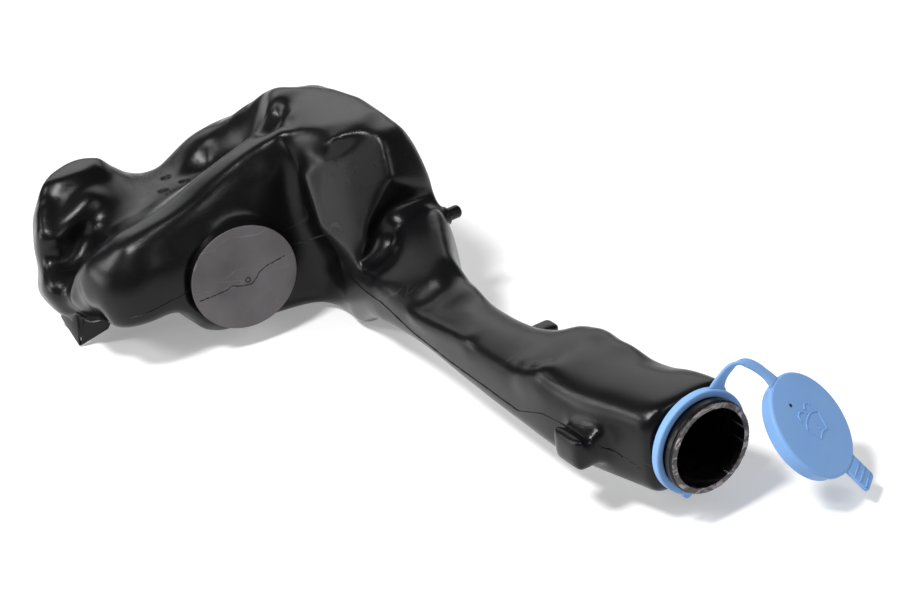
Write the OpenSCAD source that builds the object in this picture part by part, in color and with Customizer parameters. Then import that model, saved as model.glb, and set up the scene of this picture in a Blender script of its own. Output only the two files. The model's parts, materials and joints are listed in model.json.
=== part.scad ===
// Windscreen washer fluid reservoir with a tethered filler cap.
// The origin is the centre of the filler mouth's rim. +X runs out of the mouth along the neck,
// +Z is up, and the mould's parting plane is z = 0.

/* [Chamber] */
// Length of the chamber, left end to right wall
chamber_len = 228; // [215:1:270]
// Depth of the chamber, front wall to back wall
chamber_depth = 172; // [150:1:200]
// Right wall of the chamber, measured from the mouth's axis
chamber_right = 30; // [24:1:40]
// Top of the dome above the parting plane
dome_height = 95; // [85:1:110]
// Height of the low deck behind the front ridge
deck_height = 30; // [25:1:40]
// Flat underside below the parting plane
chamber_drop = 50; // [44:1:60]
// Moulded wall
wall = 3; // [2:0.5:4]

/* [Neck] */
// Front wall of the chamber to the mouth's rim
neck_len = 385; // [340:1:430]
// Inner corner where the neck's side wall leaves the front wall, from the mouth's axis
neck_side = 32; // [24:1:38]
// Width of the neck's narrow part
throat_width = 43; // [38:1:50]
// Width of the filler box behind the mouth
box_width = 62; // [60:1:70]
// Height of the neck's narrow part above the parting plane
throat_height = 20; // [16:1:26]
// Height of the filler box, above and below the parting plane
box_height = 29; // [28:0.5:34]

/* [Mouth] */
// Outside diameter of the rim bead
mouth_od = 57; // [50:0.5:60]
// Bore of the mouth
mouth_bore = 48.6; // [40:0.2:51]
// Length of the mouth in front of the filler box
mouth_len = 16; // [14:0.5:24]
// Length of the rim bead
bead_len = 6; // [4:0.5:6.5]
// Step of the bead over the throat that carries the ring
bead_step = 1.5; // [0.8:0.1:2]

/* [Fittings] */
// Diameter of the round boss on the front wall
boss_d = 76; // [60:1:82]
// Boss height in front of the wall
boss_proud = 10; // [6:1:14]
// Diameter of the locating pin on the right wall
pin_d = 9; // [7:0.5:12]
// Length of the locating pin
pin_len = 13; // [9:0.5:18]
// Bore of the pump port in the back wall
port_bore = 22; // [16:0.5:26]
// Hole in the rear fixing lug
lug_hole = 6.5; // [5:0.5:8]

/* [Cap] */
// Diameter of the lid's top plate
lid_d = 65.5; // [63.5:0.5:72]
// Thickness of the lid's top plate
lid_plate = 3; // [2:0.5:4]
// Depth of the lid's skirt over the bead
skirt_depth = 6.6; // [5:0.2:7]
// Wall of the lid's skirt
skirt_wall = 2; // [1.4:0.2:2.4]
// Width of the tether ring along the neck
ring_width = 5; // [3:0.5:6]
// Outside diameter of the tether ring
ring_od = 64; // [61:0.5:68]
// Width of the strap
strap_width = 7.5; // [5:0.5:10]
// Thickness of the strap
strap_thick = 2; // [1.6:0.2:2.6]
// Length of the pull tab
tab_len = 17; // [12:1:26]
// Width of the pull tab
tab_width = 15; // [10:1:20]
// Running clearance between the cap and the mouth
cap_clear = 0.4; // [0.3:0.05:0.6]

/* [Hidden] */
$fn = 72;

black = [0.10, 0.10, 0.11];
blue = [0.42, 0.62, 0.86];

// Datum places
front_x = -neck_len;
back_x = front_x - chamber_depth;
left_y = chamber_right - chamber_len;
inner_y = -neck_side;
face_x = -mouth_len;
throat_od = mouth_od - 2 * bead_step;

// Lines plan of the tank. Each line is a list of [station, value]. Stations 0 to 8 run along the
// chamber from its left end, 9 to 13 turn round the inner corner, and 14 to 32 run out to the mouth.
// The near line is the front wall and then the neck's left side, and the far line is the other side.
dome_x = front_x + 38;
root_x = front_x + 155;
box_x = face_x - 96;
throat_y = inner_y - 15;
near_line = [
    [0, [front_x - 66, left_y + 1]],
    [0.5, [front_x - 36, left_y + 5]],
    [1, [front_x - 17, left_y + 12]],
    [2, [front_x - 4, left_y + 26]],
    [3, [front_x, left_y + 42]],
    [5, [front_x + 1, left_y + 84]],
    [6.5, [front_x, left_y + 120]],
    [7.5, [front_x - 1, inner_y - 29]],
    [8.5, [front_x + 1, inner_y - 15]],
    [9.5, [front_x + 5, inner_y - 7]],
    [10.5, [front_x + 11, inner_y - 3]],
    [11.5, [front_x + 18, inner_y - 1]],
    [12.5, [front_x + 27, inner_y - 1]],
    [14, [dome_x, inner_y - 4]],
    [16, [dome_x + 25, inner_y - 8]],
    [18, [dome_x + 53, inner_y - 12]],
    [20, [dome_x + 79, inner_y - 13]],
    [22, [root_x, throat_y + 1]],
    [24, [root_x + 40, throat_y]],
    [26, [box_x - 14, throat_y - 1]],
    [28, [box_x + 32, throat_y + 1]],
    [30, [face_x - 14, inner_y - 2]],
    [32, [face_x, inner_y + 1]]
];
far_line = [
    [0, [back_x + 72, left_y + 1]],
    [0.5, [back_x + 46, left_y + 6]],
    [1, [back_x + 30, left_y + 14]],
    [2, [back_x + 13, left_y + 32]],
    [4, [back_x + 3, left_y + 72]],
    [6, [back_x + 8, left_y + 122]],
    [8, [back_x + 24, chamber_right - 50]],
    [9, [back_x + 34, chamber_right - 22]],
    [10, [back_x + 54, chamber_right - 7]],
    [11, [back_x + 86, chamber_right - 1]],
    [12, [back_x + 126, chamber_right]],
    [14, [dome_x - 6, chamber_right]],
    [16, [dome_x + 25, chamber_right]],
    [18, [dome_x + 53, chamber_right - 6]],
    [20, [dome_x + 79, chamber_right - 18]],
    [21, [dome_x + 96, chamber_right - 27]],
    [22, [root_x, throat_y + throat_width + 4]],
    [24, [root_x + 40, throat_y + throat_width]],
    [25, [box_x - 42, throat_y + throat_width + 3]],
    [26, [box_x - 14, throat_y + throat_width + 20]],
    [27, [box_x + 10, throat_y + box_width + 2]],
    [28, [box_x + 32, throat_y + box_width + 4]],
    [29.3, [face_x - 29, inner_y + box_width - 4]],
    [31, [face_x - 7, inner_y + box_width]],
    [32, [face_x, inner_y + box_width]]
];

// Heights over the near edge, the middle and the far edge, and the depth of the underside
near_top = [
    [0, 10], [0.5, 28], [1, 40], [2, 48], [4, 60], [6, dome_height - 19], [8, dome_height - 12],
    [10, dome_height - 8], [12, dome_height - 4], [14, dome_height - 3], [15, dome_height - 8],
    [16, 56], [17, 22], [18, 16], [19, 20], [20, 22], [21, 20],
    [22, 16], [23, throat_height - 4], [24, throat_height - 2], [26, throat_height + 1],
    [27, box_height - 3], [28, box_height - 2], [32, box_height]
];
mid_top = [
    [0, 9], [0.5, 17], [1, 23], [2, 28], [4, deck_height + 2], [6, deck_height + 8],
    [7, deck_height + 18], [8, dome_height - 13], [9, dome_height - 1], [10, dome_height],
    [14, dome_height], [15, dome_height - 4], [16, 72], [17, 40], [18, 34],
    [19, 34], [20, 33], [21, 29], [22, 24], [23, throat_height - 1], [24, throat_height],
    [26, throat_height + 3], [27, box_height - 1], [28, box_height - 1], [32, box_height]
];
far_top = [
    [0, 10], [0.5, 27], [1, 43], [2, 55], [3, 61], [4, 57], [4.6, 45], [5.2, deck_height + 3],
    [6, deck_height + 1], [6.5, deck_height + 12], [7, deck_height + 22], [8, deck_height + 30],
    [9.5, deck_height + 32],
    [10.5, dome_height - 18], [11, dome_height - 8],
    [12, dome_height - 3], [14, dome_height - 2], [15, dome_height - 5],
    [16, 74], [17, 47], [18, 44], [19, 40], [20, 35], [21, 31],
    [22, 25], [23, throat_height - 1], [24, throat_height - 2], [26, throat_height + 1],
    [27, box_height - 4], [28, box_height - 2], [32, box_height]
];
near_low = [
    [0, 18], [0.5, 22], [1, 14], [3, 9], [3.8, 12], [4.4, 34], [5, chamber_drop - 7],
    [6, chamber_drop - 4], [8, chamber_drop], [14, chamber_drop], [16, chamber_drop - 14],
    [17, 28], [18, 24], [20, 18], [22, 15], [24, 18], [26, 23], [28, box_height - 2], [32, box_height]
];
far_low = [
    [0, 22], [0.5, 30], [1, 37], [2, 43], [4, chamber_drop], [14, chamber_drop],
    [16, chamber_drop - 10], [18, 28], [20, 20], [22, 16], [24, 18], [26, 23],
    [28, box_height - 2], [32, box_height]
];

// Roundness of the section's corners at the near and the far edge, low is square
near_round = [
    [0, 0.6], [4, 0.6], [8, 0.55], [12, 0.42], [16, 0.36], [20, 0.42], [22, 0.6], [27, 0.42], [32, 0.4]
];
far_round = [[0, 0.55], [6, 0.45], [10, 0.42], [16, 0.42], [18, 0.5], [22, 0.6], [27, 0.42], [32, 0.4]];
low_round = 0.4;
// Share of a section that the crest along each edge takes
crest_width = 0.17;
// How far the underside is flattened, 1 is not at all
floor_flat = 1.06;

// Dents and lumps of the upper half, as [path in plan, half-width, height]: a pocket in the dome's
// end, a dish behind the ridge, the hollow between hump and nose, the hump, the groove across the
// dome's front with its bowl, and the knuckle of the neck
forms = [
    [[[front_x - 72, inner_y - 5], [front_x - 62, inner_y - 9]], 15, -24],
    [[[front_x - 104, inner_y - 26], [front_x - 84, inner_y - 13]], 15, -14],
    [[[front_x - 78, left_y + 2], [front_x - 92, left_y + 26]], 20, -22],
    [[[back_x + 22, left_y + 50], [back_x + 18, left_y + 72]], 24, 4],
    [[[front_x + 76, 24], [front_x + 75, -8], [front_x + 78, -22], [front_x + 73, -44]], 6, -9],
    [[[front_x + 79, -20]], 8, -6],
    [[[box_x + 10, inner_y - 12]], 11, 6]
];

// How flat a form's middle is, 2 is a plain bell
form_power = 2.6;

// Stations of the skin and the cavity, close together round the inner corner and the dome. The
// cavity starts a step in from the skin's left end.
last_station = near_line[len(near_line) - 1][0];
fan_start = 6.5;
fan_end = 18;
coarse = 0.5;
fine = 0.25;
skin_stations = concat(
    [for (s = [0 : coarse : fan_start - coarse]) s],
    [for (s = [fan_start : fine : fan_end - fine]) s],
    [for (s = [fan_end : coarse : last_station]) s]
);
cavity_start = 0.5;
cavity_stations = concat(
    [for (s = [cavity_start : coarse : fan_end - coarse]) s],
    [for (s = [fan_end : 2 * coarse : last_station]) s]
);
skin_count = 24;
cavity_count = 16;
// How strongly the points of a section crowd towards its corners
crowding = 14;

// Places and small sizes of the fittings, and how far cutting shapes reach past what they cut
cut_lap = 1;
root_lap = 4;
rim_chamfer = 0.8;
boss_y = -94;
boss_z = 4;
boss_turn = 8;
boss_root = 24;
pin_x = front_x + 77;
pin_z = 26;
pin_root = 22;
pin_root_y = chamber_right - pin_root;
pin_step = 2;
pin_shy = 0.5;
pin_sunk = 3;
pin_seat = pin_root - pin_shy;
pin_end = pin_root + pin_len - pin_sunk;
lug_x = face_x - 56;
lug_len = 26;
lug_out = neck_side + 27;
lug_root = 6;
lug_z = -13;
lug_tall = 22;
lug_groove = 5;
tab_x = box_x - 70;
tab_root = 6;
side_tab_len = 14;
side_tab_out = 24;
tab_tall = 7;
guard_x = front_x - 84;
guard_y = left_y + 9;
guard_z = -chamber_drop + 4;
guard_tall = 34;
guard_len = 28;
guard_side = 20;
rear_lug_x = back_x + 20;
rear_lug_y = chamber_right - 36;
rear_lug_z = deck_height + 5;
rear_lug_thick = 5;
rear_lug_rim = 5;
rear_lug_root = 14;
port_y = left_y + 110;
port_z = -18;
port_proud = 3;
port_rim = 6;
port_root = 30;

// Cap: places, and the swing from the closed to the open lid
cap_gap = 0.3;
skirt_id = mouth_od + 2 * cap_clear;
ring_play = 1;
ring_x = -bead_len - bead_step - ring_play - ring_width;
nub_d = 7;
nub_len = 3;
strap_angle = 62;
lid_angle = 8;
tab_angle = 6;
nub_angle = strap_angle + 188;
swing_axis = [0.852788, -0.104999, 0.511593];
swing_open = 102.35;
swing_pivot = [-1.43, 30.71, 15.52];
lid_lift = 10.01;
tab_step = 0.8;
tab_ribs = 3;
tab_rib = 1.2;
tab_rib_pitch = 4.5;
tab_lap = 0.1;
strap_gap = 0.25;
strap_rise = 24;
strap_lean = 2.4;
strap_reach = 18;
strap_steps = 14;
strap_nudge = 0.01;
ring_out = [0, cos(strap_angle), sin(strap_angle)];
ring_tangent = [0, -sin(strap_angle), cos(strap_angle)];
closed_out = [0, cos(lid_angle), sin(lid_angle)];
lid_out = turned(closed_out, swing_axis, swing_open);
lid_tangent = turned([0, -sin(lid_angle), cos(lid_angle)], swing_axis, swing_open);
strap_a = ring_out * (ring_od / 2 + strap_gap) + [ring_x + ring_width / 2, 0, 0];
strap_b = strap_a + strap_rise * ring_out + [strap_lean, 0, 0];
strap_d = opened(closed_out * (lid_d / 2 + strap_gap) + [cap_gap + lid_plate / 2, 0, 0]);
strap_c = strap_d + strap_reach * lid_out;

// Cubic interpolation along a line of [station, value]
function segment(line, s, i = 0) =
    i >= len(line) - 2 || s < line[i + 1][0] ? i : segment(line, s, i + 1);
function slope(line, i) =
    let (a = max(i - 1, 0), b = min(i + 1, len(line) - 1))
    (line[b][1] - line[a][1]) / (line[b][0] - line[a][0]);
function along(line, s) =
    let (i = segment(line, s),
         h = line[i + 1][0] - line[i][0],
         t = (s - line[i][0]) / h)
    line[i][1] * (2 * t ^ 3 - 3 * t ^ 2 + 1)
    + line[i + 1][1] * (3 * t ^ 2 - 2 * t ^ 3)
    + slope(line, i) * h * (t ^ 3 - 2 * t ^ 2 + t)
    + slope(line, i + 1) * h * (t ^ 3 - t ^ 2);

// Height across a section from its near, middle and far heights, u runs from 0 to 1
function across(a, b, c, u) =
    let (line = [[crest_width, a], [0.5, b], [1 - crest_width, c]])
    u < crest_width ? a : u > 1 - crest_width ? c : along(line, u);

// Distance in plan from a point to a path of one or more points
function path_distance(p, path) =
    len(path) == 1 ? norm(p - path[0]) :
    min([for (i = [0 : len(path) - 2])
        let (a = path[i], b = path[i + 1] - path[i], t = max(0, min(1, (p - a) * b / (b * b))))
        norm(p - a - b * t)]);

// Dents widen with the inset, so that the wall keeps its thickness beside them
function form_sum(p, inset) =
    [for (f = forms)
        let (wide = f[1] + (f[2] < 0 ? 2 * inset : 0))
        f[2] * exp(-(path_distance(p, f[0]) / wide) ^ form_power)] * [for (f = forms) 1];

// One closed section at station s, with the skin moved inwards by inset. Points crowd towards
// the corners, and n of them lie on the upper half and half as many on the lower.
function section(s, inset, n) =
    let (a = along(near_line, s),
         b = along(far_line, s),
         run = (b - a) / norm(b - a),
         near = a + run * inset,
         far = b - run * inset,
         shift = s <= cavity_start ? [0, inset] : s >= last_station ? [-inset, 0] : [0, 0])
    [for (k = [0 : 1.5 * n - 1])
        let (top = k <= n,
             f = top ? k / n : 2 * (k - n) / n,
             v = 180 * f - crowding * sin(360 * f),
             x = (top ? 1 : -1) * cos(v),
             e = !top ? low_round : x > 0 ? along(near_round, s) : along(far_round, s),
             u = (1 - x) / 2,
             p = near + (far - near) * u + shift,
             full = top ? across(along(near_top, s), along(mid_top, s), along(far_top, s), u)
                          + form_sum(p, inset)
                        : across(along(near_low, s), (along(near_low, s) + along(far_low, s)) / 2,
                                 along(far_low, s), u),
             rise = (1 - min(1, abs(x)) ^ (2 / e)) ^ (e / 2),
             h = top ? rise : min(1, floor_flat * rise))
        [p[0], p[1], (top ? 1 : -1) * h * (full - inset)]];

// Triangles that close a section, from its upper points to the lower ones right under them
function section_end(n) =
    [for (j = [0 : n / 2 - 1])
        let (low = n + j, next = (low + 1) % (1.5 * n), top = n - 2 * j - 1)
        each concat(
            [[top, low, next]],
            j > 0 ? [[top, top + 1, low]] : [],
            j < n / 2 - 1 ? [[top - 1, top, next]] : []
        )];

// Closed skin of the whole tank through all its sections
module skin(inset, stations, n) {
    m = 1.5 * n;
    last = len(stations) - 1;
    points = [for (s = stations) each section(s, inset, n)];
    sides = [for (i = [0 : last - 1]) for (k = [0 : m - 1])
        let (j = (k + 1) % m)
        each [[i * m + k, i * m + j, (i + 1) * m + j], [i * m + k, (i + 1) * m + j, (i + 1) * m + k]]];
    left_end = [for (t = section_end(n)) [t[2], t[1], t[0]]];
    mouth_end = [for (t = section_end(n)) [for (k = t) last * m + k]];
    polyhedron(points, concat(sides, left_end, mouth_end));
}

// Lays a shape that was drawn along +Z out along +X
module along_x() {
    rotate([0, 90, 0]) children();
}

// Revolved mouth: a throat for the tether ring and a bead at the rim
module mouth_outside() {
    along_x() rotate_extrude() polygon([
        [0, face_x - root_lap], [throat_od / 2, face_x - root_lap],
        [throat_od / 2, -bead_len - bead_step], [mouth_od / 2, -bead_len],
        [mouth_od / 2, -rim_chamfer], [mouth_od / 2 - rim_chamfer, 0], [0, 0]
    ]);
}

module mouth_inside() {
    along_x() translate([0, 0, face_x - wall - cut_lap])
        cylinder(d = mouth_bore, h = mouth_len + wall + 2 * cut_lap);
}

// Places a shape drawn along +Z on the front wall's boss axis
module at_boss() {
    translate([front_x, boss_y, boss_z]) rotate([0, 0, -boss_turn]) along_x() children();
}

module boss_outside() {
    at_boss() translate([0, 0, -boss_root]) cylinder(d = boss_d, h = boss_root + boss_proud);
}

module boss_inside() {
    at_boss() translate([0, 0, -boss_root])
        cylinder(d = boss_d - 2 * wall, h = boss_root + boss_proud - wall);
}

// Locating pin with a shoulder at its root and a domed end
module pin() {
    translate([pin_x, pin_root_y, pin_z]) rotate([-90, 0, 0]) rotate_extrude() polygon([
        [0, 0], [pin_d / 2 + pin_step, 0], [pin_d / 2 + pin_step, pin_seat],
        [pin_d / 2, pin_seat], [pin_d / 2, pin_end - pin_d / 4],
        [pin_d / 4, pin_end], [0, pin_end]
    ]);
}

// Box-shaped lug on the neck's left side, with a groove against the wall
module neck_lug() {
    difference() {
        translate([lug_x, -lug_out, lug_z]) cube([lug_len, lug_out + throat_y + lug_root, lug_tall]);
        translate([lug_x - cut_lap, throat_y - lug_groove, lug_z + lug_tall - lug_groove])
            cube([lug_len + 2 * cut_lap, lug_groove, lug_groove + cut_lap]);
    }
}

// Flat tab on the neck's right side
module neck_tab() {
    translate([tab_x, throat_y + throat_width - tab_root, -tab_tall / 2])
        cube([side_tab_len, tab_root + side_tab_out, tab_tall]);
}

// Thin-walled corner that points down under the left end
module corner_guard() {
    translate([guard_x, guard_y, guard_z]) linear_extrude(guard_tall) polygon([
        [0, 0], [0, guard_side], [-wall, guard_side], [-wall, wall], [-guard_len, wall], [-guard_len, 0]
    ]);
}

// Rear fixing lug with its hole, and the pump port with its pad
module rear_lug() {
    translate([rear_lug_x, rear_lug_y, rear_lug_z])
        linear_extrude(rear_lug_thick) hull() {
            circle(d = lug_hole + 2 * rear_lug_rim);
            translate([rear_lug_root, 0]) square([1, 2 * rear_lug_root], center = true);
        }
}

module port_pad() {
    translate([back_x - port_proud, port_y, port_z]) along_x()
        cylinder(d = port_bore + 2 * port_rim, h = port_root);
}

module tank() {
    color(black) difference() {
        union() {
            skin(0, skin_stations, skin_count);
            mouth_outside();
            boss_outside();
            pin();
            neck_lug();
            neck_tab();
            corner_guard();
            rear_lug();
            port_pad();
        }
        skin(wall, cavity_stations, cavity_count);
        mouth_inside();
        boss_inside();
        translate([rear_lug_x, rear_lug_y, rear_lug_z - cut_lap])
            cylinder(d = lug_hole, h = rear_lug_thick + 2 * cut_lap);
        translate([back_x - port_proud - cut_lap, port_y, port_z]) along_x()
            cylinder(d = port_bore, h = port_root + cut_lap);
    }
}

// Rotates a vector about a unit axis
function turned(v, axis, angle) =
    v * cos(angle) + cross(axis, v) * sin(angle) + axis * (axis * v) * (1 - cos(angle));
// Where a point of the closed lid lies when the lid is lifted and swung open
function opened(p) = swing_pivot + turned(p + [lid_lift, 0, 0] - swing_pivot, swing_axis, swing_open);

module cap_ring() {
    color(blue) difference() {
        union() {
            along_x() translate([0, 0, ring_x]) cylinder(d = ring_od, h = ring_width);
            translate([ring_x, 0, 0]) rotate([nub_angle, 0, 0])
                translate([0, ring_od / 2, 0]) along_x() cylinder(d = nub_d, h = nub_len);
        }
        along_x() translate([0, 0, ring_x - cut_lap])
            cylinder(d = throat_od + 2 * cap_clear, h = ring_width + 2 * cut_lap);
    }
}

// Pull tab with its grip ribs, along +Y from the lid's edge
module pull_tab() {
    tab_plate = lid_plate - tab_step;
    translate([cap_gap, lid_d / 2 - tab_root, -tab_width / 2])
        cube([tab_plate, tab_root + tab_len, tab_width]);
    for (i = [1 : tab_ribs])
        translate([cap_gap + tab_plate - tab_lap, lid_d / 2 + tab_len - i * tab_rib_pitch, -tab_width / 2])
            cube([tab_step, tab_rib, tab_width]);
}

// Lid as it sits on the mouth, its tab along +Y
module closed_lid() {
    difference() {
        along_x() union() {
            translate([0, 0, cap_gap]) cylinder(d = lid_d, h = lid_plate);
            translate([0, 0, cap_gap - skirt_depth])
                cylinder(d = skirt_id + 2 * skirt_wall, h = skirt_depth + tab_lap);
        }
        along_x() translate([0, 0, cap_gap - skirt_depth - cut_lap])
            cylinder(d = skirt_id, h = skirt_depth + cut_lap);
    }
    rotate([tab_angle, 0, 0]) pull_tab();
}

module cap_lid() {
    color(blue) translate(swing_pivot) rotate(a = swing_open, v = swing_axis)
        translate([lid_lift, 0, 0] - swing_pivot) rotate([lid_angle + 180, 0, 0]) closed_lid();
}

// Strap: a flat band swept from the ring over the rim to the lid's edge
function strap_point(t) =
    strap_a * (1 - t) ^ 3 + 3 * strap_b * t * (1 - t) ^ 2 + 3 * strap_c * t ^ 2 * (1 - t) + strap_d * t ^ 3;
function strap_ring(t) =
    let (p = strap_point(t),
         d = strap_point(t + strap_nudge) - strap_point(t - strap_nudge),
         w0 = ring_tangent * (1 - t) + lid_tangent * t,
         thick = cross(d, w0) / norm(cross(d, w0)) * strap_thick / 2,
         wide = cross(thick, d) / norm(cross(thick, d)) * strap_width / 2)
    [p + wide + thick, p - wide + thick, p - wide - thick, p + wide - thick];

module cap_strap() {
    rings = [for (i = [0 : strap_steps]) strap_ring(i / strap_steps)];
    sides = [for (i = [0 : strap_steps - 1]) for (k = [0 : 3])
        let (j = (k + 1) % 4)
        each [[4 * i + k, 4 * i + j, 4 * i + 4 + j], [4 * i + k, 4 * i + 4 + j, 4 * i + 4 + k]]];
    n = 4 * strap_steps;
    ends = [[3, 2, 1, 0], [n, n + 1, n + 2, n + 3]];
    color(blue) polyhedron([for (r = rings) each r], concat(sides, ends));
}

tank();
cap_ring();
cap_strap();
cap_lid();
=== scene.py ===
import json
import math
import bmesh
import bpy
import numpy as np
from mathutils import Matrix, Vector, noise
from mathutils.bvhtree import BVHTree


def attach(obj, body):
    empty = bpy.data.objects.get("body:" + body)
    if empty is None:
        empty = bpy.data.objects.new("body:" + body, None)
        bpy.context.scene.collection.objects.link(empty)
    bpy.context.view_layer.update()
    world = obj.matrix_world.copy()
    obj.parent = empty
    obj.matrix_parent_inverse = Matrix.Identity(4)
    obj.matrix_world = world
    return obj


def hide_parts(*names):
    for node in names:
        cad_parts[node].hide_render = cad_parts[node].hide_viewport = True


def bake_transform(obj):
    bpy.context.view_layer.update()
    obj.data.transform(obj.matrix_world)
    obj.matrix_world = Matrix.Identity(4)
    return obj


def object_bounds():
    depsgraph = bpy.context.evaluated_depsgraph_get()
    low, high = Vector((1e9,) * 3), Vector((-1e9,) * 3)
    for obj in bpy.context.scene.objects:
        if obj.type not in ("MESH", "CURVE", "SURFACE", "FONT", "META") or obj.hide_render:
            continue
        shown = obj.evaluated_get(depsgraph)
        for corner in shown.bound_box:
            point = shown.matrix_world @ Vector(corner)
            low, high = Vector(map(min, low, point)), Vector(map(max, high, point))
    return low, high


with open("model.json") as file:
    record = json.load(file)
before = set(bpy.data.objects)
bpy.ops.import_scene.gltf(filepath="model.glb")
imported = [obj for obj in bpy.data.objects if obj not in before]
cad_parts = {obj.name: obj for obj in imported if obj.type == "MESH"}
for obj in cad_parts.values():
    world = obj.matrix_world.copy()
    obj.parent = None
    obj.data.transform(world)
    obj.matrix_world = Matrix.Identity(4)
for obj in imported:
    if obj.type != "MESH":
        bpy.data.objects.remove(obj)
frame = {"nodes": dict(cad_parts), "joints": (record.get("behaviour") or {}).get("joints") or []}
cadBox = [list(corner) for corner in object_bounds()]
mm = 0.001               # sizes are in mm unless a comment says otherwise, the scene is in metres
pole = 0.02              # radius left at the axis of a turned shape, mm
weld = 1e-6              # points of a turned shape closer than this are one, metres
tiny = 1e-9
farAway = 1e9
scene = bpy.context.scene
scene.view_settings.view_transform = "Standard"
print("frame loaded:", sorted(frame["nodes"]))


def bearing(azimuth, elevation):
    # the direction towards the camera or a lamp, from degrees round the part and above the floor
    a, e = math.radians(azimuth), math.radians(elevation)
    return Vector((math.sin(a) * math.cos(e), -math.cos(a) * math.cos(e), math.sin(e)))


# Camera, at the photograph's angle and on its 900 x 600 frame
cameraSettings = {
    "lens": 80.0, "sensor": 36.0,
    "azimuth": 60.72,        # degrees round from the front
    "elevation": 29.16,
    "roll": 8.72,            # the tank leans to the left in the picture
    "place": (0.73927, -0.56527, 0.63313),       # metres
}


def makeCamera(s):
    a, r = math.radians(s["azimuth"]), math.radians(s["roll"])
    back = bearing(s["azimuth"], s["elevation"])
    right = Vector((math.cos(a), math.sin(a), 0))
    up = back.cross(right)
    tilted = right * math.cos(r) - up * math.sin(r)
    lean = right * math.sin(r) + up * math.cos(r)
    data = bpy.data.cameras.new("photoCamera")
    data.lens = s["lens"]
    data.sensor_width = s["sensor"]
    camera = bpy.data.objects.new("photoCamera", data)
    turn = Matrix((tilted, lean, back)).transposed().to_4x4()
    camera.matrix_world = Matrix.Translation(s["place"]) @ turn
    scene.collection.objects.link(camera)
    scene.camera = camera


makeCamera(cameraSettings)


# Node helpers

def addNode(tree, kind, values=(), **fields):
    node = tree.nodes.new(kind)
    for key, value in fields.items():
        setattr(node, key, value)
    for key, value in dict(values).items():
        node.inputs[key].default_value = value
    return node


def wire(tree, *links):
    # each link names a node, its output, the next node and its input
    for source, output, target, entry in links:
        tree.links.new(source.outputs[output], target.inputs[entry])


# Shader groups that several finishes share

def newGroup(name, inputs, outputs):
    # a group whose inputs and outputs are all plain numbers
    group = bpy.data.node_groups.new(name, "ShaderNodeTree")
    for label, value in inputs.items():
        socket = group.interface.new_socket(name=label, in_out="INPUT", socket_type="NodeSocketFloat")
        socket.default_value = value
    for label in outputs:
        group.interface.new_socket(name=label, in_out="OUTPUT", socket_type="NodeSocketFloat")
    return group, group.nodes.new("NodeGroupInput"), group.nodes.new("NodeGroupOutput")


def moldGrainGroup():
    # fine sandblasted mould grain with a slower ripple under it
    group, given, out = newGroup(
        "moldGrain", {"Grain Scale": 1500.0, "Ripple Scale": 60.0, "Ripple Share": 0.5}, ["Height"])
    place = addNode(group, "ShaderNodeTexCoord")
    fine = addNode(group, "ShaderNodeTexNoise", {"Detail": 2.0, "Roughness": 0.6})
    slow = addNode(group, "ShaderNodeTexNoise", {"Detail": 1.0, "Roughness": 0.4})
    scaled = addNode(group, "ShaderNodeMath", operation="MULTIPLY")
    total = addNode(group, "ShaderNodeMath", operation="ADD")
    wire(group,
         (place, "Object", fine, "Vector"), (given, "Grain Scale", fine, "Scale"),
         (place, "Object", slow, "Vector"), (given, "Ripple Scale", slow, "Scale"),
         (slow, "Fac", scaled, 0), (given, "Ripple Share", scaled, 1),
         (fine, "Fac", total, 0), (scaled, 0, total, 1), (total, 0, out, "Height"))
    return group


def scuffGroup():
    # thin wandering scratches and rubbed patches, as a mask
    group, given, out = newGroup(
        "handlingScuffs",
        {"Scratch Scale": 18.0, "Patch Scale": 14.0, "Scratch Width": 0.012, "Patch Edge": 0.62},
        ["Scratches", "Patches"])
    place = addNode(group, "ShaderNodeTexCoord")
    turned = addNode(group, "ShaderNodeMapping", {"Rotation": (0.4, 0.9, 0.5), "Scale": (1.0, 0.22, 0.6)})
    line = addNode(group, "ShaderNodeTexNoise", {"Detail": 3.0, "Roughness": 0.5, "Distortion": 0.6})
    shifted = addNode(group, "ShaderNodeMath", {1: 0.5}, operation="SUBTRACT")
    size = addNode(group, "ShaderNodeMath", operation="ABSOLUTE")
    thin = addNode(group, "ShaderNodeMath", operation="LESS_THAN")
    patch = addNode(group, "ShaderNodeTexNoise", {"Detail": 4.0, "Roughness": 0.62})
    ramp = addNode(group, "ShaderNodeMapRange", {"To Min": 0.0, "To Max": 1.0, "From Max": 0.85})
    broken = addNode(group, "ShaderNodeMath", operation="MULTIPLY")
    wire(group,
         (place, "Object", turned, "Vector"), (turned, "Vector", line, "Vector"),
         (given, "Scratch Scale", line, "Scale"), (line, "Fac", shifted, 0),
         (shifted, 0, size, 0), (size, 0, thin, 0), (given, "Scratch Width", thin, 1),
         (place, "Object", patch, "Vector"), (given, "Patch Scale", patch, "Scale"),
         (patch, "Fac", ramp, "Value"), (given, "Patch Edge", ramp, "From Min"),
         (thin, 0, broken, 0), (ramp, 0, broken, 1),
         (broken, 0, out, "Scratches"), (ramp, 0, out, "Patches"))
    return group


grainGroup = moldGrainGroup()
scuffsGroup = scuffGroup()
print("shader groups ready")


# Finishes. Each takes its colours and levels from its own dictionary

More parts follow.
